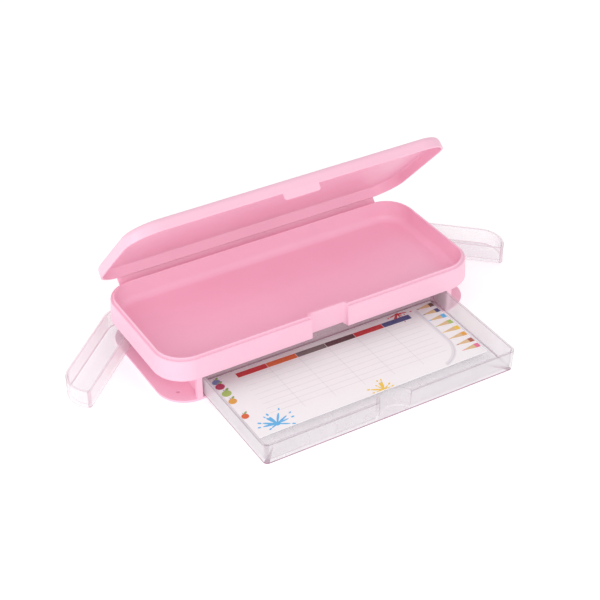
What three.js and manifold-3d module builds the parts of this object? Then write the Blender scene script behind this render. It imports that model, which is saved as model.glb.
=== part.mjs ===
// A pencil case: a shallow tray with a hinged lid over a base that holds a sliding drawer
// and two small trays that swing out of its ends.
// Millimetres, +X right, -Y front, +Z up; the origin is under the centre of the floor.
// The lid stands open, the drawer is pulled out and both end trays are swung out.

import * as THREE from "three";
import { mergeVertices } from "three/addons/utils/BufferGeometryUtils.js";
import Module from "manifold-3d";

const wasm = await Module();
wasm.setup();

// ---- driving dimensions ----

const GAP = 0.3; // between pieces that touch
const WALL = 1.6; // the usual moulded wall
const CORNER_STEPS = 9; // straight pieces in a rounded corner
const SINK = 0.2; // how far a feature reaches into what carries it
const PAST = 1; // how far a cutting tool reaches past what it cuts

// An outline in plan is { left, right, front, rear, corner }, the last being its corners' radius.
const CASE = { left: -120, right: 120, front: -51.4, rear: 51.4, corner: 21.5 }; // at the parting line
const LID = { left: -121.6, right: 121.6, front: -53, rear: 51.8, corner: 22.8 };
const BASE_INSET = 0.8; // how far the base stands inside the case's outline
const FLOOR_TOP = 2;
const BASE_TOP = 18.5;
const TRAY_BOTTOM = 18.8;
const TRAY_FLOOR = 20.6;
const SHOULDER = 34.4; // the ledge that carries the closed lid
const LIP_TOP = 36;
const LID_RIM = SHOULDER + GAP; // lid heights are those of the closed lid
const LID_TOP = 43.5;

// Profiles are lists of [inset from the outline, height], lowest first.
const BAND = [[0.4, TRAY_BOTTOM], [-0.7, TRAY_BOTTOM + 0.5], [-1, TRAY_BOTTOM + 1.5], [0, SHOULDER]];
const LIP = [[1.9, SHOULDER - PAST], [1.9, LIP_TOP]];
const TRAY_ROOM = [[6.5, TRAY_FLOOR], [4.2, TRAY_FLOOR + 0.8], [3.5, TRAY_FLOOR + 3], [3.1, LIP_TOP + PAST]];
const BASE_PLATE = [[BASE_INSET + 1, 0], [BASE_INSET + 0.2, 0.5], [BASE_INSET, FLOOR_TOP]];
const LID_OUTSIDE = [
  [0, LID_RIM],
  [0.5, LID_TOP - 2.4],
  [1, LID_TOP - 1],
  [1.9, LID_TOP - 0.3],
  [3.6, LID_TOP],
];
const LID_ROOM = [[1.7, LID_RIM - PAST], [2, LID_TOP - 2.6], [2.8, LID_TOP - 1.7], [4.4, LID_TOP - 1.5]];

const BAY = { halfX: 95.9, rearY: 48.6, wall: 1.2 }; // the space for the drawer, and its side walls
const POST = { width: 4, depth: 3, pegRadius: 1.1, pegHeight: 3 };

// The recess for the lid's tab, open below; the foot of its wall is set back by a groove.
const LATCH = { halfX: 14, faceY: -47, frontY: -50.2, corner: 3, edge: 1 };
const GROOVE = { halfX: 13, depth: 0.8, top: 20.2 };
const TAB = { halfX: 13.5, bottom: 29.8, corner: 2, rise: 1 };

const HINGE = { y: 54.6, z: 28.2, barrel: 2.1, bore: 1.1, pin: 0.8 };
const HINGE_X = { left: -75, middle: 0, right: 75 };
const KNUCKLE = { lidHalf: 8, outerHalf: 17, reach: 1.5, drop: 5, clear: 0.2 };
// The lid's flange hangs behind the tray's wall and carries the lid's knuckles.
const FLANGE = { halfX: 104, front: 52.4, rear: 53.6, bottom: 27.9, top: 37, tongue: 51, notch: 0.4 };
const LID_OPEN = THREE.MathUtils.degToRad(47.2);

const DRAWER = { left: -95.5, right: 95.5, front: -131, rear: -35.4, corner: 4.2 }; // its top, pulled out
const DRAWER_HEIGHT = { bottom: FLOOR_TOP + GAP, floor: 1.5, top: 18.1 };
const DRAWER_WALL = 1.8;
const DRAFT = 0.8; // how far the drawer's foot stands inside its top
const FOOT_CHAMFER = 0.6;
const SCOOP = { halfX: 12.4, depth: 8 };
const STOP = { x: 60, halfX: 5, y: -38.7, halfY: 1, bottom: 17.2 };

const SWING = {
  pivotX: 105.6,
  pivotY: 40.5,
  innerX: 8.2, // pivot to the side that faces the drawer when closed
  outerX: 15.2,
  reach: 86.9, // pivot to the far end
  top: 15.9,
  wall: 1.5,
  farCorner: 19,
  innerCorner: 2,
  nearCorner: 15,
  open: THREE.MathUtils.degToRad(47),
};
const PIVOT = { post: 3.6, hub: 5.4, seat: 8, screwHole: 1.6, screw: 1.3, head: 2.7, headHeight: 1.1 };
const DETENT = { x: 107.6, y: -37.4, radius: 1.3, depth: 1.4 };

const CARD = { left: -86.5, right: 90, front: -107.5, rear: -39, corner: 1 };
const CARD_THICKNESS = 0.4;

// ---- solids ----

// A geometry as a manifold solid.
function solid(geometry) {
  const bare = geometry.clone();
  bare.deleteAttribute("normal");
  bare.deleteAttribute("uv");
  const merged = mergeVertices(bare, 1e-4);
  return new wasm.Manifold(
    new wasm.Mesh({
      numProp: 3,
      vertProperties: new Float32Array(merged.attributes.position.array),
      triVerts: new Uint32Array(merged.index.array),
    }),
  );
}

// A manifold solid as a geometry with flat faces.
function geometryOf(body) {
  const mesh = body.getMesh();
  const geometry = new THREE.BufferGeometry();
  geometry.setAttribute("position", new THREE.BufferAttribute(new Float32Array(mesh.vertProperties), 3));
  geometry.setIndex(new THREE.BufferAttribute(new Uint32Array(mesh.triVerts), 1));
  const flat = geometry.toNonIndexed();
  flat.computeVertexNormals();
  return flat;
}

function joined(...bodies) {
  return bodies.reduce((whole, body) => whole.add(body));
}

function cut(body, ...tools) {
  return tools.reduce((rest, tool) => rest.subtract(tool), body);
}

// Skins a stack of loops with equal numbers of points, lowest first, and caps both ends.
function loft(loops) {
  const count = loops[0].length;
  const points = loops.flat();
  const faces = [];
  for (let level = 0; level + 1 < loops.length; level++) {
    for (let i = 0; i < count; i++) {
      const a = level * count + i;
      const b = level * count + ((i + 1) % count);
      faces.push(a, b, b + count, a, b + count, a + count);
    }
  }
  const last = (loops.length - 1) * count;
  for (let i = 1; i + 1 < count; i++) {
    faces.push(0, i + 1, i);
    faces.push(last, last + i, last + i + 1);
  }
  const geometry = new THREE.BufferGeometry();
  geometry.setAttribute("position", new THREE.Float32BufferAttribute(points.flat(), 3));
  geometry.setIndex(faces);
  return solid(geometry);
}

// An outline moved inwards by inset, at height z.
function outlineLoop(outline, inset, z) {
  const radius = outline.corner - inset;
  const loop = [];
  for (let corner = 0; corner < 4; corner++) {
    const x = corner % 3 === 0 ? outline.right - outline.corner : outline.left + outline.corner;
    const y = corner < 2 ? outline.rear - outline.corner : outline.front + outline.corner;
    for (let step = 0; step <= CORNER_STEPS; step++) {
      const angle = ((corner + step / CORNER_STEPS) * Math.PI) / 2;
      loop.push([x + radius * Math.cos(angle), y + radius * Math.sin(angle), z]);
    }
  }
  return loop;
}

// A solid over an outline from a list of [inset, height] pairs, lowest first.
function shell(outline, profile) {
  return loft(profile.map(([inset, z]) => outlineLoop(outline, inset, z)));
}

// A straight-sided solid from a flat outline in X and Y.
function prism(shape, bottom, top) {
  const geometry = new THREE.ExtrudeGeometry(shape, {
    depth: top - bottom,
    bevelEnabled: false,
    curveSegments: CORNER_STEPS,
  });
  return solid(geometry.translate(0, 0, bottom));
}

function box(low, high) {
  const size = high.map((value, axis) => value - low[axis]);
  const geometry = new THREE.BoxGeometry(...size);
  return solid(geometry.translate(...low.map((value, axis) => value + size[axis] / 2)));
}

function rod(radius, x, y, bottom, top, sides = 24) {
  const geometry = new THREE.CylinderGeometry(radius, radius, top - bottom, sides);
  geometry.rotateX(Math.PI / 2);
  return solid(geometry.translate(x, y, (bottom + top) / 2));
}

// A rod along X about the lid's hinge line.
function hingeRod(radius, fromX, toX, sides = 20) {
  const geometry = new THREE.CylinderGeometry(radius, radius, toX - fromX, sides);
  geometry.rotateZ(Math.PI / 2);
  return solid(geometry.translate((fromX + toX) / 2, HINGE.y, HINGE.z));
}

// A closed outline through corners [x, y, radius], anticlockwise, with each corner rounded.
function roundedShape(corners) {
  const shape = new THREE.Shape();
  corners.forEach(([x, y, radius], i) => {
    const here = new THREE.Vector2(x, y);
    const before = new THREE.Vector2(...corners.at(i - 1)).sub(here).normalize();
    const after = new THREE.Vector2(...corners[(i + 1) % corners.length]).sub(here).normalize();
    const start = here.clone().addScaledVector(before, radius);
    const centre = start.clone().addScaledVector(after, radius);
    const from = start.clone().sub(centre).angle();
    if (i === 0) shape.moveTo(start.x, start.y);
    else shape.lineTo(start.x, start.y);
    shape.absarc(centre.x, centre.y, radius, from, from + Math.PI / 2, false);
  });
  shape.closePath();
  return shape;
}

function roundedRect(left, front, right, rear, frontRadius, rearRadius = frontRadius) {
  return roundedShape([
    [left, front, frontRadius],
    [right, front, frontRadius],
    [right, rear, rearRadius],
    [left, rear, rearRadius],
  ]);
}

function bothSides(make) {
  return joined(make(-1), make(1));
}

// ---- hinge ----

// One knuckle: a barrel on the hinge line and a web that joins it to the wall in front.
function knuckle(fromX, toX, webLow, webHigh, wallY) {
  const web = box([fromX, wallY, webLow], [toX, HINGE.y + KNUCKLE.reach, webHigh]);
  return joined(hingeRod(HINGE.barrel, fromX, toX), web);
}

function hingeBore(x) {
  const reach = KNUCKLE.outerHalf - WALL;
  return hingeRod(HINGE.bore, x - reach, x + reach);
}

// ---- upper tray ----

function latchRecess() {
  const front = 2 * LATCH.frontY - LATCH.faceY - LATCH.corner;
  const shape = roundedRect(-LATCH.halfX, front, LATCH.halfX, LATCH.faceY, LATCH.edge, LATCH.corner);
  const recess = prism(shape, TRAY_BOTTOM - PAST, LIP_TOP + PAST);
  const grooveLow = [-GROOVE.halfX, front, TRAY_BOTTOM - PAST];
  return joined(recess, box(grooveLow, [GROOVE.halfX, LATCH.faceY + GROOVE.depth, GROOVE.top]));
}

function latchBulge() {
  const halfX = LATCH.halfX + WALL;
  const rear = LATCH.faceY + WALL;
  const shape = roundedRect(-halfX, LATCH.frontY, halfX, rear, LATCH.edge, LATCH.corner);
  return prism(shape, TRAY_BOTTOM + SINK, LIP_TOP);
}

function trayKnuckles(x) {
  const wallY = CASE.rear - SINK;
  const low = HINGE.z - KNUCKLE.drop;
  const high = HINGE.z - KNUCKLE.clear;
  const spans = [
    [x - KNUCKLE.outerHalf, x - KNUCKLE.lidHalf - GAP],
    [x + KNUCKLE.lidHalf + GAP, x + KNUCKLE.outerHalf],
  ];
  return joined(...spans.map(([from, to]) => knuckle(from, to, low, high, wallY)));
}

function upperTray() {
  const hollow = cut(joined(shell(CASE, BAND), shell(CASE, LIP)), shell(CASE, TRAY_ROOM));
  const latch = cut(joined(hollow, latchBulge()), latchRecess());
  const bosses = bothSides((side) => {
    const x = side * SWING.pivotX;
    const boss = rod(PIVOT.post, x, SWING.pivotY, PIVOT.seat + GAP, TRAY_BOTTOM + SINK);
    return cut(boss, rod(PIVOT.screwHole, x, SWING.pivotY, PIVOT.seat, TRAY_BOTTOM));
  });
  const stops = bothSides((side) => {
    const x = side * STOP.x;
    const low = [x - STOP.halfX, STOP.y - STOP.halfY, STOP.bottom];
    return box(low, [x + STOP.halfX, STOP.y + STOP.halfY, TRAY_BOTTOM + SINK]);
  });
  const knuckles = Object.values(HINGE_X).map(trayKnuckles);
  const whole = joined(latch, bosses, stops, ...knuckles);
  const pegHoles = bothSides((side) => pegAt(side, POST.pegRadius + GAP, GAP));
  return cut(whole, pegHoles, ...Object.values(HINGE_X).map(hingeBore));
}

// ---- base ----

// The peg on a front post, which enters the tray above; extra lengthens it to make its hole.
function pegAt(side, radius, extra) {
  const x = side * (BAY.halfX + POST.width / 2);
  const y = CASE.front + BASE_INSET + POST.depth / 2;
  return rod(radius, x, y, BASE_TOP - PAST, BASE_TOP + POST.pegHeight + extra, 16);
}

function baseShell() {
  const floor = shell(CASE, BASE_PLATE);
  const frontY = CASE.front + BASE_INSET;
  const rearY = CASE.rear - BASE_INSET;
  const lowZ = FLOOR_TOP - SINK;
  const outerX = BAY.halfX + BAY.wall;
  const rearWall = box([-outerX, BAY.rearY, lowZ], [outerX, rearY, BASE_TOP]);
  const partitions = bothSides((side) => {
    const xs = [side * BAY.halfX, side * outerX].sort((a, b) => a - b);
    return box([xs[0], frontY + SINK, lowZ], [xs[1], BAY.rearY + SINK, BASE_TOP]);
  });
  const posts = bothSides((side) => {
    const xs = [side * BAY.halfX, side * (BAY.halfX + POST.width)].sort((a, b) => a - b);
    const post = box([xs[0], frontY + SINK, lowZ], [xs[1], frontY + POST.depth, BASE_TOP]);
    return joined(post, pegAt(side, POST.pegRadius, 0));
  });
  const pivotPosts = bothSides((side) => {
    return rod(PIVOT.post, side * SWING.pivotX, SWING.pivotY, lowZ, PIVOT.seat);
  });
  const holes = bothSides((side) => {
    const x = side * SWING.pivotX;
    const hole = rod(PIVOT.screwHole, x, SWING.pivotY, -PAST, PIVOT.seat + PAST);
    const sink = rod(PIVOT.head + GAP, x, SWING.pivotY, -PAST, PIVOT.headHeight + 2 * GAP);
    return joined(hole, sink);
  });
  const dimples = bothSides((side) =>
    rod(DETENT.radius, side * DETENT.x, DETENT.y, FLOOR_TOP - DETENT.depth, FLOOR_TOP + PAST, 16),
  );
  return cut(joined(floor, rearWall, partitions, posts, pivotPosts), holes, dimples);
}

function pivotScrew(side) {
  const x = side * SWING.pivotX;
  const headTop = GAP + PIVOT.headHeight;
  const head = rod(PIVOT.head, x, SWING.pivotY, GAP, headTop);
  const shank = rod(PIVOT.screw, x, SWING.pivotY, headTop - SINK, TRAY_BOTTOM - PAST, 16);
  return joined(head, shank);
}

// ---- lid, as it lies when closed ----

function lidTab() {
  const { halfX, bottom, corner, rise } = TAB;
  const shape = new THREE.Shape();
  shape.moveTo(-halfX, LID_RIM + rise);
  shape.lineTo(-halfX, bottom + corner);
  shape.absarc(-halfX + corner, bottom + corner, corner, Math.PI, 1.5 * Math.PI, false);
  shape.absarc(halfX - corner, bottom + corner, corner, 1.5 * Math.PI, 2 * Math.PI, false);
  shape.lineTo(halfX, LID_RIM + rise);
  shape.closePath();
  const plate = new THREE.ExtrudeGeometry(shape, { depth: WALL, bevelEnabled: false, curveSegments: 5 });
  plate.rotateX(Math.PI / 2);
  return solid(plate.translate(0, LID.front + WALL, 0));
}

function lidKnuckle(x) {
  const low = HINGE.z + KNUCKLE.clear;
  return knuckle(x - KNUCKLE.lidHalf, x + KNUCKLE.lidHalf, low, FLANGE.top, FLANGE.front);
}

// A tongue back from the lid's rear wall and the flange that hangs from it, notched for the
// tray's knuckles.
function rearFlange() {
  const { halfX, front, rear, bottom, top, tongue, notch } = FLANGE;
  const blade = box([-halfX, front, bottom], [halfX, rear, top]);
  const notchTop = HINGE.z + HINGE.barrel + notch;
  const shelf = box([-halfX, tongue, LID_RIM + SINK], [halfX, rear, top]);
  const notches = Object.values(HINGE_X).flatMap((x) =>
    [x - KNUCKLE.outerHalf, x + KNUCKLE.lidHalf].map((from) => {
      const to = from + KNUCKLE.outerHalf - KNUCKLE.lidHalf;
      return box([from - notch, front - notch, bottom - PAST], [to + notch, rear + PAST, notchTop]);
    }),
  );
  return cut(joined(blade, shelf), ...notches);
}

function lid() {
  const cover = cut(shell(LID, LID_OUTSIDE), shell(LID, LID_ROOM));
  const knuckles = Object.values(HINGE_X).map(lidKnuckle);
  const whole = joined(cover, rearFlange(), lidTab(), ...knuckles);
  return cut(whole, ...Object.values(HINGE_X).map(hingeBore));
}

function hingePin(x) {
  const reach = KNUCKLE.outerHalf - WALL - GAP;
  return hingeRod(HINGE.pin, x - reach, x + reach, 12);
}

// ---- drawer ----

// The round hollow that lets a finger reach the drawer's front, grown by extra.
function scoopRod(extra, bottom, top) {
  const radius = (SCOOP.halfX ** 2 + SCOOP.depth ** 2) / (2 * SCOOP.depth);
  return rod(radius + extra, 0, DRAWER.front - radius + SCOOP.depth, bottom, top, 64);
}

function drawer() {
  const { bottom, floor, top } = DRAWER_HEIGHT;
  const inside = bottom + floor;
  const block = shell(DRAWER, [
    [DRAFT + FOOT_CHAMFER, bottom],
    [DRAFT, bottom + FOOT_CHAMFER],
    [0, top],
  ]);
  const room = shell(DRAWER, [
    [DRAWER_WALL + DRAFT, inside],
    [DRAWER_WALL, top + SINK],
  ]);
  const roomBehindScoop = cut(room, scoopRod(DRAWER_WALL, inside - PAST, top + PAST));
  return cut(block, roomBehindScoop, scoopRod(0, inside, top + PAST));
}

function timetableCard() {
  const bottom = DRAWER_HEIGHT.bottom + DRAWER_HEIGHT.floor + GAP;
  return shell(CARD, [
    [0, bottom],
    [0, bottom + CARD_THICKNESS],
  ]);
}

// ---- side tray, about its pivot, as it lies when closed in the left end ----

function sideOutline(inset) {
  return roundedShape([
    [-SWING.outerX + inset, -SWING.reach + inset, SWING.farCorner - inset],
    [SWING.innerX - inset, -SWING.reach + inset, SWING.innerCorner - inset],
    [SWING.innerX - inset, SWING.innerX - inset, SWING.innerX - inset],
    [-SWING.outerX + inset, SWING.innerX - inset, SWING.nearCorner - inset],
  ]);
}

function sideTray() {
  const bottom = FLOOR_TOP + GAP;
  const inside = bottom + SWING.wall;
  const walls = cut(
    prism(sideOutline(0), bottom, SWING.top),
    prism(sideOutline(SWING.wall), inside, SWING.top + PAST),
  );
  const hub = rod(PIVOT.hub, 0, 0, bottom + SINK, SWING.top);
  return cut(joined(walls, hub), rod(PIVOT.post + 2 * GAP, 0, 0, 0, SWING.top + PAST));
}

// ---- materials and assembly ----

const MATERIALS = {
  pink: { color: 0xf7c3d6, roughness: 0.35, metalness: 0 },
  clear: { color: 0xe6e0e6, roughness: 0.12, metalness: 0, transparent: true, opacity: 0.4 },
  card: { color: 0xf6f2f4, roughness: 0.7, metalness: 0 },
  steel: { color: 0xb8bac0, roughness: 0.3, metalness: 1 },
};

function piece(name, body, look) {
  const mesh = new THREE.Mesh(geometryOf(body), new THREE.MeshStandardMaterial(MATERIALS[look]));
  mesh.name = name;
  return mesh;
}

// A group that turns about a point: what goes into it is modelled unturned, in the part's frame.
function turnedAbout(point, turn) {
  const pivot = new THREE.Group();
  pivot.position.set(...point);
  turn(pivot.rotation);
  const content = new THREE.Group();
  content.position.set(...point.map((value) => -value));
  pivot.add(content);
  return { pivot, content };
}

const pencilCase = new THREE.Group();
pencilCase.add(piece("base_shell", baseShell(), "pink"));
pencilCase.add(piece("upper_tray", upperTray(), "pink"));

const lidHinge = turnedAbout([0, HINGE.y, HINGE.z], (rotation) => {
  rotation.x = -LID_OPEN;
});
lidHinge.content.add(piece("lid", lid(), "pink"));
pencilCase.add(lidHinge.pivot);
for (const [place, x] of Object.entries(HINGE_X)) {
  pencilCase.add(piece(`hinge_pin_${place}`, hingePin(x), "steel"));
}

pencilCase.add(piece("drawer", drawer(), "clear"));
pencilCase.add(piece("timetable_card", timetableCard(), "card"));

for (const [place, side] of [["left", -1], ["right", 1]]) {
  const tray = piece(`side_tray_${place}`, sideTray(), "clear");
  tray.rotation.z = -SWING.open;
  const mirror = new THREE.Group();
  mirror.scale.x = -side;
  mirror.position.set(side * SWING.pivotX, SWING.pivotY, 0);
  mirror.add(tray);
  pencilCase.add(mirror);
  pencilCase.add(piece(`pivot_screw_${place}`, pivotScrew(side), "steel"));
}

export default pencilCase;
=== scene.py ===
"""A pencil case standing open: pink moulded shells, a clear drawer and two clear end trays.

Shapes are given in millimetres and become metres when a mesh is made. +X is right, -Y is the
front and +Z is up, as in the frame.
"""

import math
import random
from collections import defaultdict

import bmesh
import bpy
from mathutils import Matrix, Vector


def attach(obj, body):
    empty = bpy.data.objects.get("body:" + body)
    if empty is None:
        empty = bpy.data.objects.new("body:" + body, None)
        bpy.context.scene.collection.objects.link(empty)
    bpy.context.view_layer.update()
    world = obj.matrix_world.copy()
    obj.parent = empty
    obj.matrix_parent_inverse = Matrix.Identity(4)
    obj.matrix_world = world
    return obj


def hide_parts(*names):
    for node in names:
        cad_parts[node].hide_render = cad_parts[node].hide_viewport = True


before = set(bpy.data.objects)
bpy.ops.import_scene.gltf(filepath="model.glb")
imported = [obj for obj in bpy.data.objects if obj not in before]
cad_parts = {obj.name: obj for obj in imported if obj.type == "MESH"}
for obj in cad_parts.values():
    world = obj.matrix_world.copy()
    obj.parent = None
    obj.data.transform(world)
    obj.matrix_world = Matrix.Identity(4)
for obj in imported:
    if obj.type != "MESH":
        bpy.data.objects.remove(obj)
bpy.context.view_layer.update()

MM = 0.001
ARC_STEP = math.radians(15)  # the most that a rounded corner turns between two points
LEAST_RADIUS = 0.2
ROUND, TURNED, FINE = 48, 32, 24  # steps round a circle, a turned piece and a small circle
SINK = 0.5  # how far a wall starts inside the floor it stands on

# ---- driving dimensions, in millimetres ----

GAP = 0.3
WALL = 1.6
CASE_HALF, CASE_FRONT, CASE_REAR, CASE_CORNER = 120.0, -51.4, 51.4, 21.5
LID_HALF, LID_FRONT, LID_REAR, LID_CORNER = 121.6, -53.0, 51.8, 22.8
OUTSIDE = -60.0  # well in front of the case
BASE_INSET = 0.8
BASE_TOP = 18.5
FLOOR_TOP = 2.0
TRAY_BOTTOM = 18.8
TRAY_FLOOR = 20.6
SHOULDER = 34.4
LIP_TOP = 36.0
LID_RIM = 34.7  # the lid's heights are those of the closed lid
LID_UNDER = 42.0
LID_TOP = 43.5
LID_OPEN = math.radians(47.2)

BAY_HALF, BAY_REAR, BAY_WALL = 95.9, 48.6, 1.2
POST_WIDTH, POST_DEPTH, PEG_RADIUS, PEG_HEIGHT = 4.0, 3.0, 1.1, 3.0
WALL_BEHIND, WALL_AHEAD, POST_AHEAD, POST_ASIDE = 0.1, 0.25, 0.2, 0.01  # so none lies flush

LATCH_HALF, LATCH_FACE, LATCH_FRONT, LATCH_CORNERS = 14.0, -47.0, -50.2, (3, 3, 1, 1)
BULGE_LOW, RECESS_LOW, RECESS_TOP = 19.0, 17.0, 38.0
GROOVE_HALF, GROOVE_DEPTH, GROOVE_TOP = 13.0, 0.8, 20.2
TAB_HALF, TAB_LOW, TAB_RISE, TAB_CORNER = 13.5, 29.8, 1.2, 2.0

HINGE_Y, HINGE_Z, BARREL, BORE, PIN = 54.6, 28.2, 2.1, 1.1, 0.8
HINGE_X = {"left": -75.0, "middle": 0.0, "right": 75.0}
LID_KNUCKLE, OUTER_KNUCKLE = 8.0, 17.0
WEB_FRONT, WEB_DROP, WEB_EDGE = 51.2, 5.0, 0.2
FLANGE_HALF, FLANGE_FRONT, FLANGE_REAR, FLANGE_LOW, FLANGE_TOP = 104.0, 52.4, 53.6, 27.9, 37.0
TONGUE_FRONT, TONGUE_RISE, NOTCH, KNUCKLE_SINK = 51.0, 0.2, 0.4, 0.3
PIN_CHAMFER = 0.2

DRAWER_HALF, DRAWER_FRONT, DRAWER_REAR, DRAWER_CORNER = 95.5, -131.0, -35.4, 4.2
DRAWER_BOTTOM, DRAWER_FLOOR, DRAWER_TOP, DRAWER_WALL, DRAFT = 2.3, 3.8, 18.1, 1.8, 0.8
FOOT_REFLECTION_STRIP = 1.4  # the strip along the drawer's foot that gets a painted reflection of the pink case, a dark mauve line
NARROW = 0.55  # the widest face that counts as an edge of a clear piece
# material slots for the painted foot reflection and the painted edge shade, and how far a foot
# face may turn right or back and still get the painted reflection
FOOT_REFLECTION_SLOT, RIM_SHADE_SLOT, TURNED_AWAY = 1, 2, 0.3
SCOOP_HALF, SCOOP_DEPTH, SCOOP_JOIN = 12.4, 8.0, 1.6
STOP_X, STOP_HALF_X, STOP_Y, STOP_HALF_Y, STOP_LOW = 60.0, 5.0, -38.7, 1.0, 17.2

PIVOT_X, PIVOT_Y = 105.6, 40.5
SWING_OUTER, SWING_INNER, SWING_REACH = -15.2, 8.2, -86.9
SWING_CORNERS = (SWING_INNER, 15.0, 19.0, 2.0)
SWING_TOP, SWING_WALL = 15.9, 1.5
SWING_OPEN = math.radians(47)
POST_RADIUS, HUB_RADIUS, SEAT = 3.6, 5.4, 8.0
SCREW_HOLE, SCREW, HEAD, HEAD_HEIGHT = 1.6, 1.3, 2.7, 1.1
THREAD_PITCH, THREAD_TURNS, THREAD_DEPTH = 1.0, 9, 0.25
CROSS_ARM, CROSS_HALF, CROSS_DEPTH = 1.5, 0.3, 0.8
DETENT_X, DETENT_Y, DETENT_RADIUS, DETENT_DEPTH = 107.6, -37.4, 1.3, 1.4
CARD_LEFT, CARD_RIGHT, CARD_FRONT, CARD_REAR, CARD_CORNER = -86.5, 90.0, -107.5, -39.0, 1.0
CARD_LOW, CARD_HIGH = 4.1, 4.5

# ---- profiles ----

# [inset from the outline, height, corner radius]: each starts and ends inside the piece, where
# it is capped. A negative inset stands proud of the outline.
CAP, SWING_CAP, CARD_CAP, BULGE_CAP, RECESS_CAP = 14.0, 3.5, 20.0, 1.5, 2.5
TRAY_PROFILE = [
    (CAP, TRAY_BOTTOM, 0),
    (-0.95, TRAY_BOTTOM, 1.2),
    (0, SHOULDER, 0.45),
    (1.9, SHOULDER, 0.25),
    (1.9, LIP_TOP, 0.45),
    (3.1, LIP_TOP, 0.45),
    (3.7, TRAY_FLOOR, 5.5),
    (CAP, TRAY_FLOOR, 0),
]
BULGE_PROFILE = [
    (BULGE_CAP, BULGE_LOW, 0),
    (0, BULGE_LOW, 0.1),
    (0, LIP_TOP, 0.45),
    (BULGE_CAP, LIP_TOP, 0),
]
RECESS_PROFILE = [
    (RECESS_CAP, RECESS_LOW, 0),
    (0, RECESS_LOW, 0.1),
    (0, RECESS_TOP, 0.1),
    (RECESS_CAP, RECESS_TOP, 0),
]
BASE_PROFILE = [
    (CAP, 0, 0),
    (BASE_INSET + 0.2, 0, 0.9),
    (BASE_INSET, FLOOR_TOP, 0.35),
    (CAP, FLOOR_TOP, 0),
]
LID_PROFILE = [
    (CAP, LID_UNDER, 0),
    (2.1, LID_UNDER, 1.7),
    (1.7, LID_RIM, 0.4),
    (0, LID_RIM, 0.4),
    (0.6, LID_TOP, 3.8),
    (CAP, LID_TOP, 0),
]
DRAWER_PROFILE = [
    (CAP, DRAWER_BOTTOM, 0),
    (DRAFT + 0.02, DRAWER_BOTTOM, 0.95),
    (0, DRAWER_TOP, 0.5),
    (DRAWER_WALL, DRAWER_TOP, 0.5),
    (DRAWER_WALL + DRAFT, DRAWER_FLOOR, 0.9),
    (CAP, DRAWER_FLOOR, 0),
]
SWING_PROFILE = [
    (SWING_CAP, DRAWER_BOTTOM, 0),
    (0, DRAWER_BOTTOM, 0.7),
    (0, SWING_TOP, 0.45),
    (SWING_WALL, SWING_TOP, 0.45),
    (SWING_WALL, DRAWER_FLOOR, 0.8),
    (SWING_CAP, DRAWER_FLOOR, 0),
]
CARD_PROFILE = [
    (CARD_CAP, CARD_LOW, 0),
    (0, CARD_LOW, 0.1),
    (0, CARD_HIGH, 0.1),
    (CARD_CAP, CARD_HIGH, 0),
]

# ---- the card's print, in millimetres ----

PRINT_LEFT, PRINT_RIGHT, PRINT_FRONT, PRINT_REAR = -85.7, 89.2, -106.7, -39.8
PRINT_SLOPE = -0.02
INK = 0.03
INK_STEP = 0.004  # each colour stands this much higher than the one before
RULE, RULE_START = 0.32, 0.3
STRIP = ["red", "orange", "taupe", "maroon", "red", "navy"]
STRIP_LEFT, STRIP_RIGHT, STRIP_LOW, STRIP_TALL, STRIP_GAP = -68.0, 67.7, -48.6, 4.8, 0.15
TABLE_LOW, TABLE_ROWS = -96.5, 9
PAGE_RIGHT, PAGE_LOW, PAGE_TOP, PAGE_CORNER, PAGE_BEND = 74.5, -105.5, -43.0, 24.0, -72
PAGE_SHADE = [(0, 0.6)]  # [distance outside the page's edge, width]
PAGE_HAZE = [(0.6, 0.9), (-1.6, 1.6)]
INKS = {
    "red": (0.60, 0.008, 0.015), "orange": (0.75, 0.12, 0.012), "taupe": (0.19, 0.13, 0.13),
    "maroon": (0.10, 0.02, 0.03), "navy": (0.06, 0.065, 0.22), "rule": (0.78, 0.765, 0.79),
    "shade": (0.70, 0.68, 0.72), "haze": (0.83, 0.81, 0.84), "grey": (0.35, 0.33, 0.36),
    "leaf": (0.30, 0.42, 0.10), "green": (0.42, 0.55, 0.12), "yellow": (0.90, 0.60, 0.05),
    "amber": (0.82, 0.38, 0.04), "sky": (0.10, 0.48, 0.85), "slate": (0.20, 0.24, 0.50),
    "crimson": (0.50, 0.02, 0.09), "wood": (0.76, 0.52, 0.27), "umber": (0.12, 0.05, 0.03),
    "rust": (0.42, 0.10, 0.05), "pink": (0.85, 0.16, 0.32),
}
FRUIT = [  # [place, size, colour, width over height]
    ((-82.9, -44.2), 5, "slate", 1.2),
    ((-82.9, -49.6), 6, "crimson", 1.1),
    ((-82.6, -58), 6, "green", 1.15),
    ((-83, -67), 5.4, "amber", 1.1),
    ((-83.4, -84.4), 5, "orange", 1.05),
]
FRUIT_TURN = 20
LEAF = (0.35, 0.62, 0.3, 2.0, 35, 16)  # across and up in fruit sizes, size, stretch, turn, steps
STEM = (0, 0.6, 0.12, 3.0, 80, 10)
PENCILS = [(-43.5, "umber"), (-51, "navy"), (-58.8, "sky"), (-66.8, "green"), (-75, "yellow"),
           (-83, "amber"), (-91.3, "rust"), (-98.4, "pink")]
PENCIL_HALF, PENCIL_END, PENCIL_SHOULDER, PENCIL_POINT = 2.1, 89.6, 86.2, 75.4
LEAD_START, LEAD_HALF = 0.78, 0.22  # how far along the cone the lead starts, and its half width
SPLASHES = [  # [foot, radius, arms, fan in degrees, colour]
    ((-69.5, -101.2), 1.8, 9, (-25, 205), "sky"),
    ((7.6, -106.7), 1.6, 7, (8, 172), "yellow"),
    ((61, -40.5), 1.3, 7, (190, 350), "red"),
]
FIRST_SEED = 3
SPLASH_STEPS = 240
ARM_SHIFT, ARM_LENGTH, ARM_WIDTH = (-0.3, 0.3), (2.0, 5.0), (7, 10)
DROP_REACH, DROP_SIZE, DROP_STRETCH = (1.15, 1.4), (0.5, 0.8), 1.9

# ---- looks, light and camera ----

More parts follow.
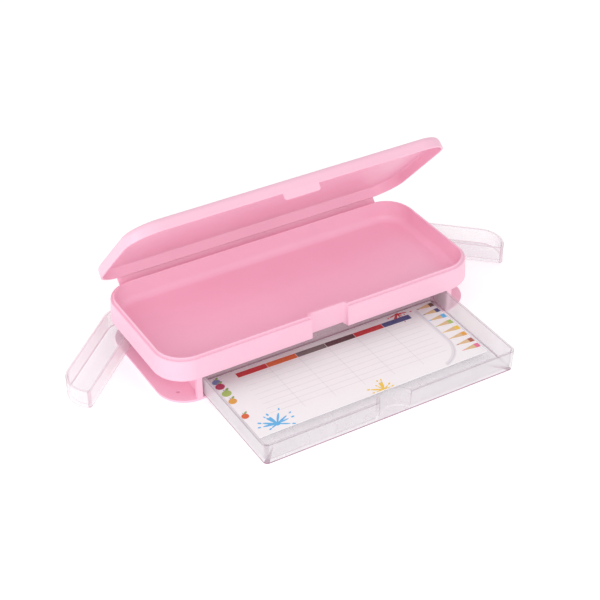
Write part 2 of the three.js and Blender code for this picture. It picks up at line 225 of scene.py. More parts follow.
PINK_TONES = ((0.95, 0.54, 0.68), (0.965, 0.575, 0.71))
PAPER_TONES = ((0.955, 0.94, 0.945), (0.975, 0.965, 0.97))
STEEL_TONES = ((0.50, 0.50, 0.52), (0.66, 0.66, 0.68))
INK_SPECULAR = 0.2
PALE_INK = 0.12  # how far the card's fibres lighten an ink
# mauve the clear plastic turns where it is seen edge on: a painted reflection of the pink case,
# with the plastic's own tint through a longer path
GRAZING_REFLECTION_TONE = (0.40, 0.20, 0.31)
LET_THROUGH = (0.95, 0.935, 0.95, 1)
HAZE_LIFT = 0.05
GRAZING_POWER = 3.0

BEVEL_STEPS = 3
BEVEL_FROM = math.radians(32)
SHARP_FROM = math.radians(30)
THREAD_SHARP_FROM = math.radians(35)

FLOOR_HALF, FLOOR_Z = 9000, -0.1
FLOOR_TONE, FLOOR_GLOW, WORLD_STRENGTH = (0.96, 0.96, 0.96, 1), 0.25, 0.76
KEY_LIGHT = ((-0.45, -1.35, 0.8), (0, -0.02, 0.03), 0.9, 6.5)  # place, target, size, watts
SIDE_LIGHT = ((-1.3, 0.1, 0.5), (0, 0, 0.03), 0.7, 3)

AZIMUTH, ELEVATION, ROLL = math.radians(-30.491), math.radians(35.153), math.radians(-0.177)
TARGET = Vector((-1.596, -14.616, 23.374))
DISTANCE, LENS, SENSOR = 1056.8, 92.78, 36


class Outline:
    """A rectangle in plan with rounded corners, from the right rear one anticlockwise."""

    def __init__(self, left, right, front, rear, radii, steps):
        self.corners = [(right, rear), (left, rear), (left, front), (right, front)]
        self.radii = radii if isinstance(radii, tuple) else (radii,) * 4
        self.steps = steps

    def loop(self, inset, z):
        """Its points moved inwards by inset, at height z."""
        points = []
        for turn, ((x, y), radius) in enumerate(zip(self.corners, self.radii)):
            reach = max(radius, inset + LEAST_RADIUS)
            left = -1 if turn in (0, 3) else 1
            down = -1 if turn < 2 else 1
            centre = Vector((x + left * reach, y + down * reach, z))
            for step in range(self.steps + 1):
                angle = (turn + step / self.steps) * math.pi / 2
                out = Vector((math.cos(angle), math.sin(angle), 0))
                points.append(centre + out * (reach - inset))
        return points


CASE = Outline(-CASE_HALF, CASE_HALF, CASE_FRONT, CASE_REAR, CASE_CORNER, 22)
LID = Outline(-LID_HALF, LID_HALF, LID_FRONT, LID_REAR, LID_CORNER, 22)
DRAWER = Outline(-DRAWER_HALF, DRAWER_HALF, DRAWER_FRONT, DRAWER_REAR, DRAWER_CORNER, 8)
CARD = Outline(CARD_LEFT, CARD_RIGHT, CARD_FRONT, CARD_REAR, CARD_CORNER, 4)
SWING = Outline(SWING_OUTER, SWING_INNER, SWING_REACH, SWING_INNER, SWING_CORNERS, 14)


# ---- shapes ----


def rounded(points):
    """An open line through [u, v, radius] whose corners are rounded by their radii."""
    line = [points[0][:2]]
    for before, (u, v, radius), after in zip(points, points[1:], points[2:]):
        corner = Vector((u, v))
        back = (Vector(before[:2]) - corner).normalized()
        on = (Vector(after[:2]) - corner).normalized()
        half = back.angle(on) / 2
        centre = corner + (back + on).normalized() * radius / math.sin(half)
        start = corner + back * radius / math.tan(half) - centre
        end = corner + on * radius / math.tan(half) - centre
        turn = math.atan2(start.x * end.y - start.y * end.x, start.dot(end))
        steps = max(2, math.ceil(abs(turn) / ARC_STEP))
        for step in range(steps + 1):
            point = centre + Matrix.Rotation(turn * step / steps, 2) @ start
            line.append(tuple(point))
    line.append(points[-1][:2])
    return line


def placed(name, data):
    """An object in the scene that shows a mesh, a light or a camera."""
    made = bpy.data.objects.new(name, data)
    bpy.context.scene.collection.objects.link(made)
    return made


def new_object(name, points, faces):
    """A mesh object from points in millimetres, with its faces turned outwards."""
    mesh = bpy.data.meshes.new(name)
    mesh.from_pydata([tuple(Vector(p) * MM) for p in points], [], faces)
    tidy = bmesh.new()
    tidy.from_mesh(mesh)
    bmesh.ops.recalc_face_normals(tidy, faces=tidy.faces)
    tidy.to_mesh(mesh)
    tidy.free()
    return placed(name, mesh)


def skin(name, loops):
    """Quads between loops of equal length, with both ends capped."""
    count = len(loops[0])
    top = (len(loops) - 1) * count
    faces = []
    for low in range(0, top, count):
        high = low + count
        for i in range(count):
            j = (i + 1) % count
            faces.append((low + i, low + j, high + j, high + i))
    faces.append(tuple(reversed(range(count))))
    faces.append(tuple(range(top, top + count)))
    return new_object(name, [p for loop in loops for p in loop], faces)


def shell(name, outline, profile):
    return skin(name, [outline.loop(inset, z) for inset, z in rounded(profile)])


def prism(name, section, low, high, place):
    """A flat section [u, v] pushed from low to high; place turns (u, v, depth) into a point."""
    return skin(name, [[place(u, v, depth) for u, v in section] for depth in (low, high)])


def upright(u, v, depth):
    return Vector((u, v, depth))


def along_x(u, v, depth):
    return Vector((depth, u, v))


def along_y(u, v, depth):
    return Vector((u, depth, v))


def box(low, high):
    return prism("box", rectangle(low[0], low[1], high[0], high[1]), low[2], high[2], upright)


def rectangle(left, front, right, rear):
    return [(left, front), (right, front), (right, rear), (left, rear)]


def arc(centre, radius, start, end, steps):
    """Points on a circle from start to end, both in degrees."""
    angles = [math.radians(start + (end - start) * i / steps) for i in range(steps + 1)]
    return [(centre[0] + radius * math.cos(a), centre[1] + radius * math.sin(a)) for a in angles]


def circle(centre, radius, steps=ROUND):
    return arc(centre, radius, 0, 360, steps)[:-1]


def rod(x, y, radius, low, high):
    return prism("rod", circle((x, y), radius), low, high, upright)


def lathe(name, profile, centre, axis="Z", steps=TURNED):
    """Turns [radius, height] pairs about an axis through centre; both ends are capped."""
    loops = []
    for radius, height in profile:
        ring = circle((0, 0), radius, steps)
        if axis == "Z":
            loops.append([Vector((u, v, height)) + Vector(centre) for u, v in ring])
        else:
            loops.append([Vector((height, u, v)) + Vector(centre) for u, v in ring])
    return skin(name, loops)


def merged(name, objects):
    """One object that holds the meshes of several, which are used up."""
    whole = bmesh.new()
    for each in objects:
        whole.from_mesh(each.data)
    mesh = bpy.data.meshes.new(name)
    whole.to_mesh(mesh)
    whole.free()
    for each in objects:
        bpy.data.objects.remove(each)
    return placed(name, mesh)


def apply_modifiers(target):
    graph = bpy.context.evaluated_depsgraph_get()
    mesh = bpy.data.meshes.new_from_object(target.evaluated_get(graph))
    target.modifiers.clear()
    target.data = mesh


def combine(target, tool, operation):
    """Joins a tool to the target, or cuts it away; the tool is used up."""
    change = target.modifiers.new("combine", "BOOLEAN")
    change.object = tool
    change.operation = operation
    change.solver = "EXACT"
    apply_modifiers(target)
    bpy.data.objects.remove(tool)
    return target


def add(target, *tools):
    return combine(target, merged("tools", tools), "UNION")


def cut(target, *tools):
    return combine(target, merged("tools", tools), "DIFFERENCE")


def finish_moulding(target, width=0.3):
    """Rounds the sharp edges and shades the flats flat."""
    bevel = target.modifiers.new("rounded_edges", "BEVEL")
    bevel.width = width * MM
    bevel.segments = BEVEL_STEPS
    bevel.limit_method = "ANGLE"
    bevel.angle_limit = BEVEL_FROM
    bevel.use_clamp_overlap = True
    apply_modifiers(target)
    target.data.shade_smooth()
    normals = target.modifiers.new("flat_normals", "WEIGHTED_NORMAL")
    normals.keep_sharp = True


def shade_turned(target, sharp_from=SHARP_FROM):
    """Shades a turned or thin piece smooth, apart from its sharp edges."""
    target.data.shade_smooth()
    target.data.set_sharp_from_angle(angle=sharp_from)


def split_at(target, z):
    """Cuts the faces that cross a height, so that a strip below it can have its own look."""
    mesh = bmesh.new()
    mesh.from_mesh(target.data)
    whole = mesh.verts[:] + mesh.edges[:] + mesh.faces[:]
    bmesh.ops.bisect_plane(mesh, geom=whole, plane_co=(0, 0, z * MM), plane_no=(0, 0, 1))
    mesh.to_mesh(target.data)
    mesh.free()


def paint_dark_edges(target, painted_foot_look, painted_rim_look):
    """Paints narrow faces darker, the painted shade and reflection that clear edges show: the rim
    look on all above the foot, and the foot look on all in it but those turned right or back.
    Those keep the plain look, because a dark line there shows through the piece."""
    for material in (painted_foot_look, painted_rim_look):
        target.data.materials.append(material)
    foot = (DRAWER_BOTTOM + FOOT_REFLECTION_STRIP) * MM
    for face in target.data.polygons:
        points = [target.data.vertices[i].co for i in face.vertices]
        longest = max((b - a).length for a, b in zip(points, points[1:] + points[:1]))
        if face.area > longest * NARROW * MM:
            continue
        if face.center.z > foot:
            face.material_index = RIM_SHADE_SLOT
        elif max(face.normal.x, face.normal.y) < TURNED_AWAY:
            face.material_index = FOOT_REFLECTION_SLOT


def both_sides(make):
    return [make(-1), make(1)]


def present(target, name, body, nodes, material):
    """Names a finished piece, gives it its material and lets it ride on its body."""
    target.name = name
    target.data.name = name
    target.data.materials.clear()
    target.data.materials.append(material)
    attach(target, body)
    if nodes:
        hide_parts(*nodes)


# ---- materials ----


class Shader:
    """A material with helpers for its nodes; its textures read the object's own coordinates."""

    def __init__(self, name):
        self.material = bpy.data.materials.new(name)
        self.material.use_nodes = True
        self.tree = self.material.node_tree
        self.surface = self.tree.nodes["Principled BSDF"]
        self.place = self.node("ShaderNodeTexCoord").outputs["Object"]

    def node(self, kind, **settings):
        made = self.tree.nodes.new(kind)
        for key, value in settings.items():
            setattr(made, key, value)
        return made

    def link(self, source, target):
        self.tree.links.new(source, target)

    def set(self, **values):
        """Sets sockets of the main shader: words joined by _ stand for a socket's name."""
        for key, value in values.items():
            self.surface.inputs[key.replace("_", " ")].default_value = value

    def noise(self, scale, detail=2.0, roughness=0.5, stretch=(1, 1, 1)):
        mapping = self.node("ShaderNodeMapping")
        mapping.inputs["Scale"].default_value = stretch
        self.link(self.place, mapping.inputs["Vector"])
        made = self.node("ShaderNodeTexNoise")
        made.inputs["Scale"].default_value = scale
        made.inputs["Detail"].default_value = detail
        made.inputs["Roughness"].default_value = roughness
        self.link(mapping.outputs["Vector"], made.inputs["Vector"])
        return made.outputs["Fac"]

    def spread(self, source, low, high, start=0.3, end=0.7):
        """A value from start to end becomes one from low to high."""
        made = self.node("ShaderNodeMapRange")
        ends = {"From Min": start, "From Max": end, "To Min": low, "To Max": high}
        for key, value in ends.items():
            made.inputs[key].default_value = value
        self.link(source, made.inputs["Value"])
        return made.outputs["Result"]

    def blend(self, factor, first, second):
        """A colour between two: each is a colour or a socket."""
        made = self.node("ShaderNodeMix", data_type="RGBA")
        self.link(factor, made.inputs["Factor"])
        for socket, colour in ((made.inputs[6], first), (made.inputs[7], second)):
            if isinstance(colour, tuple):
                socket.default_value = (*colour, 1)
            else:
                self.link(colour, socket)
        return made.outputs[2]

    def colour(self, factor, first, second):
        """Lets the surface's colour vary with a noise."""
        tone = self.blend(self.spread(factor, 0, 1), first, second)
        self.link(tone, self.surface.inputs["Base Color"])

    def roughness(self, factor, low, high):
        self.link(self.spread(factor, low, high), self.surface.inputs["Roughness"])

    def open_to(self, *rays):
        """Lets rays of these kinds pass straight through the surface."""
        open_way = self.node("ShaderNodeBsdfTransparent")
        open_way.inputs["Color"].default_value = LET_THROUGH
        path = self.node("ShaderNodeLightPath")
        source = self.surface.outputs["BSDF"]
        for ray in rays:
            mix = self.node("ShaderNodeMixShader")
            self.link(path.outputs[ray], mix.inputs[0])
            self.link(source, mix.inputs[1])
            self.link(open_way.outputs[0], mix.inputs[2])
            source = mix.outputs[0]
        self.link(source, self.tree.nodes["Material Output"].inputs["Surface"])

    def bump(self, layers):
        """Bumps from (height, strength, distance in millimetres), one over another."""
        normal = None
        for height, strength, distance in layers:
            made = self.node("ShaderNodeBump")
            made.inputs["Strength"].default_value = strength
            made.inputs["Distance"].default_value = distance * MM
            self.link(height, made.inputs["Height"])
            if normal is not None:
                self.link(normal, made.inputs["Normal"])
            normal = made.outputs["Normal"]
        self.link(normal, self.surface.inputs["Normal"])


def pink_plastic():
    look = Shader("pink_moulded_plastic")
    flow = look.noise(14, 3, 0.5, (1, 1.6, 2.5))
    look.colour(flow, *PINK_TONES)
    look.roughness(look.noise(70, 4), 0.30, 0.42)
    look.set(IOR=1.5)
    look.bump([(look.noise(9, 1), 0.1, 0.25), (look.noise(2600, 2), 0.12, 0.05)])
    return look.material


def clear_plastic(name, milky, thin):
    """An approximation of clear styrene by alpha: mauve and denser where it is seen edge on, the
    mauve being a painted reflection of the pink case.
    """
    look = Shader(name)
    facing = look.node("ShaderNodeLayerWeight")
    facing.inputs["Blend"].default_value = 0.5
    grazing = look.node("ShaderNodeMath", operation="POWER")
    look.link(facing.outputs["Facing"], grazing.inputs[0])
    grazing.inputs[1].default_value = GRAZING_POWER
    haze = look.spread(look.noise(60, 3), 0, 1)
    milk = look.blend(haze, milky, tuple(c + HAZE_LIFT for c in milky))
    # painted reflection of the pink case, blended in where the plastic is seen edge on
    edge = look.blend(look.spread(grazing.outputs[0], 0, 1, 0.3, 0.9), milk, GRAZING_REFLECTION_TONE)
    look.link(edge, look.surface.inputs["Base Color"])
    look.roughness(look.noise(90, 3), 0.06, 0.16)
    look.set(IOR=1.45)
    look.bump([(look.noise(26, 1), 0.02, 0.2)])
    look.link(look.spread(grazing.outputs[0], thin, 0.95, 0.0, 0.9), look.surface.inputs["Alpha"])
    look.open_to("Is Shadow Ray", "Is Diffuse Ray")
    return look.material


def paper():
    look = Shader("card_paper")
    fibre = look.noise(900, 5, 0.7)
    look.colour(fibre, *PAPER_TONES)
    look.roughness(look.noise(300, 2), 0.45, 0.62)
    look.bump([(fibre, 0.15, 0.03)])
    return look.material


def ink(name, colour):
    look = Shader("ink_" + name)
    fibre = look.noise(1400, 4, 0.7)
    look.colour(fibre, colour, tuple(c + (1 - c) * PALE_INK for c in colour))
    look.roughness(fibre, 0.45, 0.6)
    look.set(Specular_IOR_Level=INK_SPECULAR)
    return look.material


def steel():
    look = Shader("turned_steel")
    grain = look.noise(500, 3, 0.6, (1, 1, 8))
    look.colour(grain, *STEEL_TONES)
    look.set(Metallic=1.0)
    look.roughness(grain, 0.22, 0.4)
    look.bump([(grain, 0.1, 0.03)])
    return look.material


PINK = pink_plastic()
CLEAR = clear_plastic("clear_styrene", (0.69, 0.66, 0.68), 0.30)
CLEAR_PALE = clear_plastic("clear_styrene_pale", (0.93, 0.90, 0.92), 0.18)
# darker copies of the clear plastic for narrow faces: a painted reflection of the pink case along
# the drawer's foot, and painted shade, pink where it takes up the case's reflection, along the
# rims
CLEAR_FOOT_REFLECTION = clear_plastic("clear_styrene_foot_painted_reflection", (0.30, 0.11, 0.20), 0.9)
CLEAR_RIM_SHADE = clear_plastic("clear_styrene_rim_painted_shade", (0.36, 0.27, 0.33), 0.48)
CLEAR_PALE_RIM_SHADE = clear_plastic("clear_styrene_pale_rim_painted_shade", (0.66, 0.46, 0.54), 0.46)
PAPER = paper()
STEEL = steel()


# ---- hinge ----


def lower_knuckle(from_x, to_x):
    """A knuckle of the tray: a barrel with a web that slopes up to it from the rear wall."""
    section = arc((HINGE_Y, HINGE_Z), BARREL, 185, -50, FINE)
    section += [(WEB_FRONT, HINGE_Z - WEB_DROP), (WEB_FRONT, HINGE_Z - WEB_EDGE)]
    return prism("knuckle", section, from_x, to_x, along_x)


def upper_knuckle(x):
    """A knuckle of the lid, for the closed lid: a barrel with a web down from the flange."""
    top = FLANGE_TOP - KNUCKLE_SINK
    section = arc((HINGE_Y, HINGE_Z), BARREL, 50, -185, FINE)
    section += [(FLANGE_FRONT, HINGE_Z + WEB_EDGE), (FLANGE_FRONT, top), (FLANGE_REAR, top)]
    return prism("knuckle", section, x - LID_KNUCKLE, x + LID_KNUCKLE, along_x)


def rear_flange():
    """A tongue back from the lid's rear wall and the flange that hangs from it."""
    tongue = LID_RIM + TONGUE_RISE
    section = [
        (TONGUE_FRONT, tongue), (FLANGE_FRONT, tongue), (FLANGE_FRONT, FLANGE_LOW),
        (FLANGE_REAR, FLANGE_LOW), (FLANGE_REAR, FLANGE_TOP), (TONGUE_FRONT, FLANGE_TOP),
    ]
    flange = prism("flange", section, -FLANGE_HALF, FLANGE_HALF, along_x)
    notches = []
    for x in HINGE_X.values():
        for start in (x - OUTER_KNUCKLE, x + LID_KNUCKLE):
            end = start + OUTER_KNUCKLE - LID_KNUCKLE
            notches.append(box((start - NOTCH, FLANGE_FRONT - NOTCH, FLANGE_LOW - 1),
                               (end + NOTCH, FLANGE_REAR + 1, HINGE_Z + BARREL + NOTCH)))
    return cut(flange, *notches)


def hinge_bore(x):
    reach = OUTER_KNUCKLE - WALL
    return prism("bore", circle((HINGE_Y, HINGE_Z), BORE, FINE), x - reach, x + reach, along_x)


def tray_knuckles(x):
    return [
        lower_knuckle(x - OUTER_KNUCKLE, x - LID_KNUCKLE - GAP),
        lower_knuckle(x + LID_KNUCKLE + GAP, x + OUTER_KNUCKLE),
    ]


def hinge_pin(place, x):
    reach = OUTER_KNUCKLE - WALL - GAP
    profile = [(PIN - PIN_CHAMFER, -reach), (PIN, -reach + PIN_CHAMFER),
               (PIN, reach - PIN_CHAMFER), (PIN - PIN_CHAMFER, reach)]
    pin = lathe("pin", profile, (x, HINGE_Y, HINGE_Z), "X", FINE)
    shade_turned(pin)
    name = "hinge_pin_" + place
    present(pin, "steel_" + name, "case", [name], STEEL)


# ---- upper tray ----


def latch_bulge():
    half = LATCH_HALF + WALL
    outline = Outline(-half, half, LATCH_FRONT, LATCH_FACE + WALL, LATCH_CORNERS, 8)
    return shell("bulge", outline, BULGE_PROFILE)


def latch_recess():
    outline = Outline(-LATCH_HALF, LATCH_HALF, OUTSIDE, LATCH_FACE, LATCH_CORNERS, 8)
    groove = box((-GROOVE_HALF, OUTSIDE, RECESS_LOW + SINK),
                 (GROOVE_HALF, LATCH_FACE + GROOVE_DEPTH, GROOVE_TOP))
    return add(shell("recess", outline, RECESS_PROFILE), groove)


def peg(side, radius, extra):
    """A peg on a front post of the base, or, made wider and taller, the hole it stands in."""
    x = side * (BAY_HALF + POST_WIDTH / 2)
    y = CASE_FRONT + BASE_INSET + POST_DEPTH / 2
    return rod(x, y, radius, BASE_TOP - 1, BASE_TOP + PEG_HEIGHT + extra)


def at_pivot(side, radius, low, high):
    return rod(side * PIVOT_X, PIVOT_Y, radius, low, high)


def make_upper_tray():
    tray = shell("tray", CASE, TRAY_PROFILE)
    add(tray, latch_bulge())
    under = TRAY_BOTTOM + 0.2
    knuckles = [k for x in HINGE_X.values() for k in tray_knuckles(x)]
    bosses = both_sides(lambda side: at_pivot(side, POST_RADIUS, SEAT + GAP, under))
    stops = both_sides(lambda side: box(
        (side * STOP_X - STOP_HALF_X, STOP_Y - STOP_HALF_Y, STOP_LOW),
        (side * STOP_X + STOP_HALF_X, STOP_Y + STOP_HALF_Y, under),
    ))
    add(tray, *knuckles, *bosses, *stops)
    screw_holes = both_sides(lambda side: at_pivot(side, SCREW_HOLE, SEAT, TRAY_BOTTOM))
    peg_holes = both_sides(lambda side: peg(side, PEG_RADIUS + GAP, GAP))
    bores = [hinge_bore(x) for x in HINGE_X.values()]
    cut(tray, latch_recess(), *screw_holes, *peg_holes, *bores)
    finish_moulding(tray)
    present(tray, "tray_moulding", "case", ["upper_tray"], PINK)


# ---- base ----


def bay_walls(front, rear, low):
    """The wall behind the drawer's bay, the walls beside it and the posts at its mouth."""
    outer = BAY_HALF + BAY_WALL
    walls = merged("walls", [box((-outer, BAY_REAR, low), (outer, rear - WALL_BEHIND, BASE_TOP))])
    for side in (-1, 1):
        near, far = sorted((side * BAY_HALF, side * outer))
        add(walls, box((near, front + WALL_AHEAD, low), (far, BAY_REAR + SINK, BASE_TOP)))
        near, far = sorted((side * (BAY_HALF + POST_ASIDE), side * (BAY_HALF + POST_WIDTH)))
        add(walls, box((near, front + POST_AHEAD, low), (far, front + POST_DEPTH, BASE_TOP)))
    return add(walls, *both_sides(lambda side: peg(side, PEG_RADIUS, 0)))


def make_base():
    base = shell("base", CASE, BASE_PROFILE)
    front, rear, low = CASE_FRONT + BASE_INSET, CASE_REAR - BASE_INSET, FLOOR_TOP - SINK
    add(base, bay_walls(front, rear, low))
    add(base, *both_sides(lambda side: at_pivot(side, POST_RADIUS, low, SEAT)))
    cut(base, *both_sides(lambda side: at_pivot(side, SCREW_HOLE, -1, SEAT + 1)))
    cut(base, *both_sides(lambda side: at_pivot(side, HEAD + GAP, -1, HEAD_HEIGHT + 2 * GAP)))
    cut(base, *both_sides(lambda side: rod(
        side * DETENT_X, DETENT_Y, DETENT_RADIUS, FLOOR_TOP - DETENT_DEPTH, FLOOR_TOP + 1)))
    finish_moulding(base, 0.25)
    present(base, "base_moulding", "case", ["base_shell"], PINK)


def make_pivot_screw(place, side):
    """A pan-head screw with a cross recess, seen from below, and rings in place of a thread."""
    top = GAP + HEAD_HEIGHT
    profile = [(HEAD - 0.9, GAP), (HEAD - 0.35, GAP + 0.12), (HEAD - 0.08, GAP + 0.4),
               (HEAD, top - 0.1), (HEAD - 0.1, top), (SCREW, top), (SCREW, SEAT - 1)]
    for turn in range(THREAD_TURNS):
        z = SEAT - 1 + turn * THREAD_PITCH
        profile.append((SCREW - THREAD_DEPTH, z + 0.2 * THREAD_PITCH))
        profile.append((SCREW, z + 0.7 * THREAD_PITCH))
    profile.append((SCREW - 0.5, TRAY_BOTTOM - 1))
    x, y = side * PIVOT_X, PIVOT_Y
    screw = lathe("screw", profile, (x, y, 0))
    for half_x, half_y in ((CROSS_ARM, CROSS_HALF), (CROSS_HALF, CROSS_ARM)):
        cut(screw, box((x - half_x, y - half_y, 0), (x + half_x, y + half_y, GAP + CROSS_DEPTH)))
    shade_turned(screw, THREAD_SHARP_FROM)
    name = "pivot_screw_" + place
    present(screw, "steel_" + name, "case", [name], STEEL)


# ---- lid ----


def lid_tab():
    """The tab that hangs from the middle of the lid's front, round at its lower corners."""
    reach, low = TAB_HALF - TAB_CORNER, TAB_LOW + TAB_CORNER
    section = [(TAB_HALF, LID_RIM + TAB_RISE), (-TAB_HALF, LID_RIM + TAB_RISE)]
    section += arc((-reach, low), TAB_CORNER, 180, 270, 6)
    section += arc((reach, low), TAB_CORNER, 270, 360, 6)
    return prism("tab", section, LID_FRONT + 0.02, LID_FRONT + WALL, along_y)


def make_lid():
    lid = shell("lid", LID, LID_PROFILE)
    tab = lid_tab()
    add(lid, rear_flange())
    add(lid, tab, *[upper_knuckle(x) for x in HINGE_X.values()])
    cut(lid, *[hinge_bore(x) for x in HINGE_X.values()])
    finish_moulding(lid)
    hinge = Matrix.Translation((0, HINGE_Y * MM, HINGE_Z * MM))
    lid.data.transform(hinge @ Matrix.Rotation(-LID_OPEN, 4, "X") @ hinge.inverted())
    present(lid, "lid_moulding", "lid", ["lid"], PINK)


# ---- drawer ----


def make_drawer():
    drawer = shell("drawer", DRAWER, DRAWER_PROFILE)
    radius = (SCOOP_HALF ** 2 + SCOOP_DEPTH ** 2) / (2 * SCOOP_DEPTH)
    centre = (0, DRAWER_FRONT - radius + SCOOP_DEPTH)
    wall_radius = radius + DRAWER_WALL
    sweep = math.degrees(math.acos((DRAWER_FRONT + SCOOP_JOIN - centre[1]) / wall_radius))
    ring = arc(centre, wall_radius, 90 - sweep, 90 + sweep, 48)
    add(drawer, prism("scoop_wall", ring, DRAWER_FLOOR - SINK, DRAWER_TOP - 0.02, upright))
    cut(drawer, prism("scoop", circle(centre, radius, 128), DRAWER_FLOOR, DRAWER_TOP + 1, upright))
    finish_moulding(drawer, 0.35)
    split_at(drawer, DRAWER_BOTTOM + FOOT_REFLECTION_STRIP)
    present(drawer, "clear_drawer", "drawer", ["drawer"], CLEAR)
    # dark lines painted on the drawer's narrow faces: a painted reflection of the pink case along
    # its foot, painted shade along its rims
    paint_dark_edges(drawer, CLEAR_FOOT_REFLECTION, CLEAR_RIM_SHADE)


# ---- side trays ----


def make_side_tray(place, side):
    tray = shell("side_tray", SWING, SWING_PROFILE)
    add(tray, rod(0, 0, HUB_RADIUS, DRAWER_BOTTOM + GAP, SWING_TOP))
    cut(tray, rod(0, 0, POST_RADIUS + 2 * GAP, 0, SWING_TOP + 1))
    finish_moulding(tray)
    turn = Matrix.Rotation(-SWING_OPEN, 4, "Z")
    mirror = Matrix.Diagonal((-side, 1, 1, 1))
    move = Matrix.Translation((side * PIVOT_X * MM, PIVOT_Y * MM, 0))
    tray.data.transform(move @ mirror @ turn)
    if side > 0:
        tray.data.flip_normals()
    name = "side_tray_" + place
    present(tray, "clear_" + name, name, [name], CLEAR_PALE)
    # painted edge shade, with a pink reflection of the case, on the tray's narrow faces
    paint_dark_edges(tray, CLEAR_PALE_RIM_SHADE, CLEAR_PALE_RIM_SHADE)


# ---- card and its print ----


def ink_sheet(sections, thickness):
    """Flat patches of ink on the card, from their outlines."""
    top = CARD_HIGH + thickness
    return merged("ink", [prism("ink", section, CARD_HIGH, top, upright) for section in sections])


def slanted(points):
    """The points of the timetable's page, which lies a little askew on the card."""
    return [(u, v + u * PRINT_SLOPE) for u, v in points]


def bar(left, right, low, high):
    return slanted(rectangle(left, low, right, high))


def blob(centre, size, stretch=1.0, turn=0.0, steps=28):
    """An ellipse that is stretch times as long as it is wide, turned by so many degrees."""
    angle = math.radians(turn)
    points = []
    for u, v in circle((0, 0), size / 2, steps):
        u *= stretch
        points.append((centre[0] + u * math.cos(angle) - v * math.sin(angle),
                       centre[1] + u * math.sin(angle) + v * math.cos(angle)))
    return points


def on_card(centre, reach, angle):
    """A point at a distance and an angle in degrees from a centre, kept off the card's edge."""
    x = centre[0] + reach * math.cos(math.radians(angle))
    y = centre[1] + reach * math.sin(math.radians(angle))
    return (min(max(x, PRINT_LEFT), PRINT_RIGHT), min(max(y, PRINT_FRONT), PRINT_REAR))


def splash(centre, radius, arms, fan, seed):
    """Paint thrown in from the card's edge: uneven arms in a fan, and drops past them."""
    dice = random.Random(seed)
    pitch = (fan[1] - fan[0]) / (arms - 1)
    spikes = [
        (fan[0] + (i + dice.uniform(*ARM_SHIFT)) * pitch, dice.uniform(*ARM_LENGTH),
         dice.uniform(*ARM_WIDTH))
        for i in range(arms)
    ]
    outline = []
    for step in range(SPLASH_STEPS):
        angle = fan[0] - 60 + 360 / SPLASH_STEPS * step
        reach = 1.0
        for middle, length, width in spikes:
            away = (angle - middle + 180) % 360 - 180
            reach += length * math.exp(-(away / width) ** 2)
        outline.append(on_card(centre, radius * reach, angle))
    drops = []
    for middle, length, _ in spikes:
        place = on_card(centre, radius * (1 + length) * dice.uniform(*DROP_REACH), middle)
        drops.append(blob(place, radius * dice.uniform(*DROP_SIZE), DROP_STRETCH, middle))
    return [outline, *drops]


def drawn_pencil(y, colour, prints):
    """A pencil that peeks in from the card's right edge: barrel, shaved wood and point."""
    half, near = PENCIL_HALF, PENCIL_HALF * LEAD_HALF
    mark = PENCIL_SHOULDER + (PENCIL_POINT - PENCIL_SHOULDER) * LEAD_START
    prints[colour].append(rectangle(PENCIL_SHOULDER, y - half, PENCIL_END, y + half))
    prints["wood"].append([(mark, y + near), (mark, y - near),
                           (PENCIL_SHOULDER, y - half), (PENCIL_SHOULDER, y + half)])
    prints[colour].append([(PENCIL_POINT, y), (mark, y - near), (mark, y + near)])


def drawn_fruit(place, size, colour, stretch, prints):
    """A fruit with a leaf and a stem."""
    prints[colour].append(blob(place, size, stretch, FRUIT_TURN))
    for ink_name, (across, up, share, longer, turn, steps) in (("leaf", LEAF), ("grey", STEM)):
        foot = (place[0] + size * across, place[1] + size * up)
        prints[ink_name].append(blob(foot, size * share, longer, turn, steps))


def page_edge(offset, width):
    """A band of the soft shadow along the page's right edge, which bends round its front."""
    def line(out):
        centre = (PAGE_RIGHT - PAGE_CORNER, PAGE_LOW + PAGE_CORNER)
        bend = arc(centre, PAGE_CORNER + out, 0, PAGE_BEND, 20)
        return slanted([(PAGE_RIGHT + out, PAGE_TOP), *bend])
    return line(offset) + line(offset + width)[::-1]


def table_rules(width):
    """The timetable's lines: upright ones between the days and level ones between the hours."""
    lines = []
    for i in range(1, len(STRIP)):
        x = STRIP_LEFT + i * width
        lines.append(bar(x - RULE / 2, x + RULE / 2, TABLE_LOW, STRIP_LOW - RULE_START))
    for i in range(1, TABLE_ROWS):
        y = STRIP_LOW + (TABLE_LOW - STRIP_LOW) * i / TABLE_ROWS
        lines.append(bar(STRIP_LEFT, STRIP_RIGHT, y - RULE / 2, y + RULE / 2))
    return lines


def make_print():
    """The timetable: a page with a header strip and ruled boxes, among drawings."""
    prints = defaultdict(list)
    width = (STRIP_RIGHT - STRIP_LEFT) / len(STRIP)
    for i, colour in enumerate(STRIP):
        left = STRIP_LEFT + i * width
        prints[colour].append(bar(left + STRIP_GAP, left + width - STRIP_GAP,
                                  STRIP_LOW, STRIP_LOW + STRIP_TALL))
    prints["rule"] = table_rules(width)
    prints["shade"] = [page_edge(*band) for band in PAGE_SHADE]
    prints["haze"] = [page_edge(*band) for band in PAGE_HAZE]
    for place, size, colour, stretch in FRUIT:
        drawn_fruit(place, size, colour, stretch, prints)
    for y, colour in PENCILS:
        drawn_pencil(y, colour, prints)
    for seed, (centre, radius, arms, fan, colour) in enumerate(SPLASHES, FIRST_SEED):
        prints[colour].extend(splash(centre, radius, arms, fan, seed))
    for layer, (colour, sections) in enumerate(prints.items()):
        sheet = ink_sheet(sections, INK + layer * INK_STEP)
        look = ink(colour, INKS[colour])
        present(sheet, "print_" + colour, "drawer", [], look)


def make_card():
    card = shell("card", CARD, CARD_PROFILE)
    shade_turned(card)
    present(card, "timetable_card_sheet", "drawer", ["timetable_card"], PAPER)


# ---- stage, light and camera ----


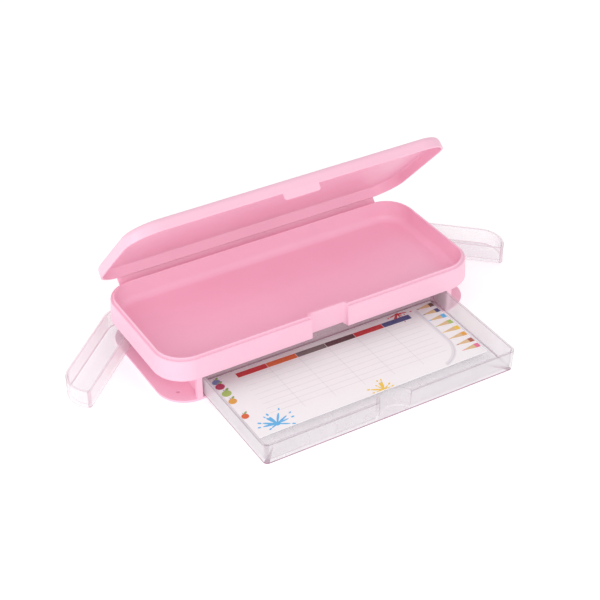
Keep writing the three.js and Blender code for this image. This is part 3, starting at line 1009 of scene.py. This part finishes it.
def area_light(name, place, target, size, power):
    light = bpy.data.lights.new(name, "AREA")
    light.shape = "DISK"
    light.size = size
    light.energy = power
    lamp = placed(name, light)
    lamp.location = place
    lamp.rotation_euler = (Vector(target) - Vector(place)).to_track_quat("-Z", "Y").to_euler()


def make_stage():
    look = Shader("pale_floor")
    look.set(Base_Color=FLOOR_TONE, Roughness=0.9, Emission_Color=(1, 1, 1, 1),
             Emission_Strength=FLOOR_GLOW)
    corners = rectangle(-FLOOR_HALF, -FLOOR_HALF, FLOOR_HALF, FLOOR_HALF)
    floor = new_object("floor", [(x, y, FLOOR_Z) for x, y in corners], [(0, 1, 2, 3)])
    floor.data.materials.append(look.material)
    world = bpy.data.worlds.new("studio")
    world.use_nodes = True
    background = world.node_tree.nodes["Background"]
    background.inputs["Color"].default_value = (1, 1, 1, 1)
    background.inputs["Strength"].default_value = WORLD_STRENGTH
    bpy.context.scene.world = world
    area_light("key", *KEY_LIGHT)
    area_light("side", *SIDE_LIGHT)
    bpy.context.scene.view_settings.view_transform = "Standard"


def make_camera():
    back = Vector((math.sin(AZIMUTH) * math.cos(ELEVATION),
                   -math.cos(AZIMUTH) * math.cos(ELEVATION),
                   math.sin(ELEVATION)))
    right = Vector((math.cos(AZIMUTH), math.sin(AZIMUTH), 0))
    up = back.cross(right)
    turned_right = right * math.cos(ROLL) + up * math.sin(ROLL)
    turned_up = up * math.cos(ROLL) - right * math.sin(ROLL)
    data = bpy.data.cameras.new("camera")
    data.lens = LENS
    data.sensor_width = SENSOR
    data.clip_start, data.clip_end = 0.05, 50
    camera = placed("camera", data)
    rotation = Matrix((turned_right, turned_up, back)).transposed().to_4x4()
    camera.matrix_world = Matrix.Translation((TARGET + back * DISTANCE) * MM) @ rotation
    bpy.context.scene.camera = camera


make_upper_tray()
make_base()
make_lid()
for place, x in HINGE_X.items():
    hinge_pin(place, x)
make_drawer()
make_card()
make_print()
for place, side in (("left", -1), ("right", 1)):
    make_side_tray(place, side)
    make_pivot_screw(place, side)
make_stage()
make_camera()
